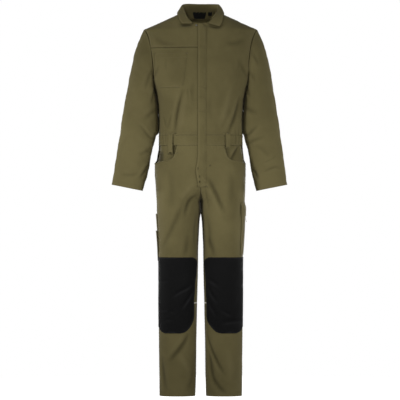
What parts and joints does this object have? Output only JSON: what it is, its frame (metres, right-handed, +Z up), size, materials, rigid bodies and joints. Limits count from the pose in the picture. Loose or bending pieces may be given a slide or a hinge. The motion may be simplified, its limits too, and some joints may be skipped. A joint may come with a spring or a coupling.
{
  "type": "boiler suit",
  "caption": "Olive work coverall, filled out as when worn, with turn-down collar, covered front, scooped hip, chest, tool and cargo pockets and black knee patches.",
  "frame": {"origin": "middle of the neck opening at shoulder height, where the wearer's shoulders carry the suit", "axes": "+Z up, the suit's front faces -Y, the wearer's left is +X"},
  "size_m": [0.719, 0.2775, 1.607],
  "materials": {
    "twill": "matt olive twill",
    "patch_cloth": "matt black patch cloth",
    "tape": "black tape",
    "light_tape": "off-white tape",
    "steel": "satin steel"
  },
  "bodies": {
    "root": {"front_left": "twill", "front_right": "twill", "front_yoke_right": "twill", "back": "twill", "waistband_left": "twill", "waistband_right": "twill", "waistband_back": "twill", "trouser_front_left": "twill", "trouser_back_left": "twill", "pocket_bearer_left": "twill", "trouser_front_right": "twill", "trouser_back_right": "twill", "pocket_bearer_right": "twill", "sleeve_left": "twill", "sleeve_right": "twill", "collar": "twill", "placket": "twill", "front_zip": "tape", "neck_stud": "steel", "chest_pocket": "twill", "back_pocket": "twill", "tool_pocket_back": "twill", "tool_pocket_front": "twill", "cargo_pocket": "twill", "cargo_flap": "twill", "cargo_pull": "twill", "knee_patch_left": "patch_cloth", "knee_mark_left": "light_tape", "knee_patch_right": "patch_cloth", "knee_mark_right": "light_tape", "belt_loop_left": "twill", "belt_loop_right": "twill", "belt_loop_back_left": "twill", "belt_loop_back_right": "twill", "neck_label": "tape", "size_label": "tape"}
  },
  "joints": []
}
